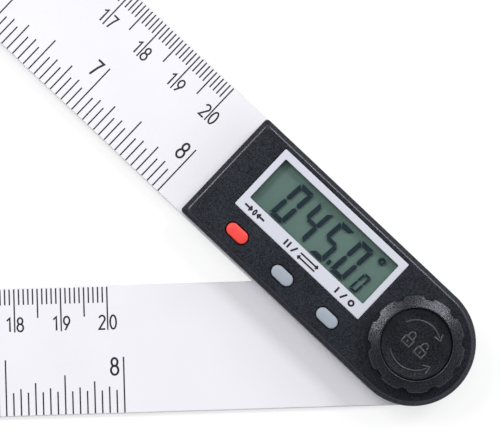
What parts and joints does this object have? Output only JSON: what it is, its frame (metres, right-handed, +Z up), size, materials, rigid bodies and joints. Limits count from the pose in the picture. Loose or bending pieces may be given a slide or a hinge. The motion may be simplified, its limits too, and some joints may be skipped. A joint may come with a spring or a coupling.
{
  "type": "digital angle finder",
  "caption": "Digital angle finder: ruler arms hinged on one pivot, with a display housing, push buttons and a lock knob.",
  "frame": {"origin": "on the pivot axis, at the underside of the lower arm", "axes": "+Z up along the pivot axis towards the knob; the lower arm lies along -X; the upper arm lies between -X and +Y, 45 degrees from the lower arm"},
  "size_m": [0.2786, 0.2104, 0.0189],
  "materials": {
    "white_plastic": "smooth white moulded plastic, soft gloss",
    "housing_plastic": "dark grey plastic with a fine spark-eroded grain",
    "knob_plastic": "near-black grained plastic",
    "bezel_silver": "pale silver paint, satin",
    "clear_lens": "clear acrylic window",
    "lcd_glass": "clear display glass",
    "reflector_film": "grey-green reflective film",
    "frame_plastic": "dark moulded plastic",
    "contact_rubber": "layered conductive rubber",
    "circuit_board": "green lacquered circuit board",
    "chip_resin": "black resin",
    "switch_plastic": "black plastic",
    "red_button": "red moulded plastic, satin",
    "grey_button": "blue-grey moulded plastic, satin",
    "steel": "bright plated steel",
    "spring_steel": "zinc-plated steel",
    "brass": "turned brass",
    "nylon": "natural nylon",
    "ribbon_film": "amber film"
  },
  "bodies": {
    "lower_arm": {"lower_ruler": "white_plastic", "pivot_bolt": "steel", "hub_bush": "brass", "encoder_rotor": "circuit_board", "pivot_washer": "nylon", "retaining_clip": "spring_steel"},
    "upper_arm": {"upper_ruler": "white_plastic", "housing_shell": "housing_plastic", "display_bezel": "bezel_silver", "display_lens": "clear_lens", "lcd_glass": "lcd_glass", "lcd_reflector": "reflector_film", "lcd_frame": "frame_plastic", "zebra_strip_upper": "contact_rubber", "zebra_strip_lower": "contact_rubber", "circuit_board": "circuit_board", "chip_blob": "chip_resin", "zero_switch": "switch_plastic", "hold_switch": "switch_plastic", "power_switch": "switch_plastic", "battery_cradle": "frame_plastic", "coin_cell": "steel", "battery_contact_plus": "spring_steel", "battery_contact_minus": "spring_steel", "encoder_stator": "circuit_board", "ribbon_cable": "ribbon_film", "housing_screw_1": "spring_steel", "housing_screw_2": "spring_steel", "housing_screw_3": "spring_steel", "housing_screw_4": "spring_steel", "board_screw_1": "spring_steel", "board_screw_2": "spring_steel"},
    "zero_button": {"zero_button": "red_button"},
    "hold_button": {"hold_button": "grey_button"},
    "power_button": {"power_button": "grey_button"},
    "battery_cover": {"battery_cover": "housing_plastic"},
    "clamp": {"clamp_washer": "steel", "spring_washer": "spring_steel"},
    "knob": {"lock_knob": "knob_plastic", "knob_nut": "brass", "knob_cap": "knob_plastic"}
  },
  "joints": [
    {"name": "arm_swing", "type": "hinge", "parent": "lower_arm", "child": "upper_arm", "pos_m": [0, 0, 0.0023], "axis": [0, 0, -1], "continuous": true},
    {"name": "knob_rise", "type": "slide", "parent": "lower_arm", "child": "clamp", "axis": [0, 0, 1], "range_m": [0, 0.0008]},
    {"name": "knob_turn", "type": "hinge", "parent": "clamp", "child": "knob", "pos_m": [0, 0, 0.0131], "axis": [0, 0, 1], "range_deg": [0, 360]},
    {"name": "zero_press", "type": "slide", "parent": "upper_arm", "child": "zero_button", "axis": [0, 0, -1], "range_m": [0, 0.0005], "stiffness_N_per_m": 400},
    {"name": "hold_press", "type": "slide", "parent": "upper_arm", "child": "hold_button", "axis": [0, 0, -1], "range_m": [0, 0.0005], "stiffness_N_per_m": 400},
    {"name": "power_press", "type": "slide", "parent": "upper_arm", "child": "power_button", "axis": [0, 0, -1], "range_m": [0, 0.0005], "stiffness_N_per_m": 400},
    {"name": "battery_cover_turn", "type": "hinge", "parent": "upper_arm", "child": "battery_cover", "pos_m": [-0.02627, 0.02627, 0.0023], "axis": [0, 0, -1], "range_deg": [0, 60]}
  ],
  "couplings": [
    {"joint": "knob_rise", "follows": "knob_turn", "m_per_rad": 0.00012732}
  ]
}
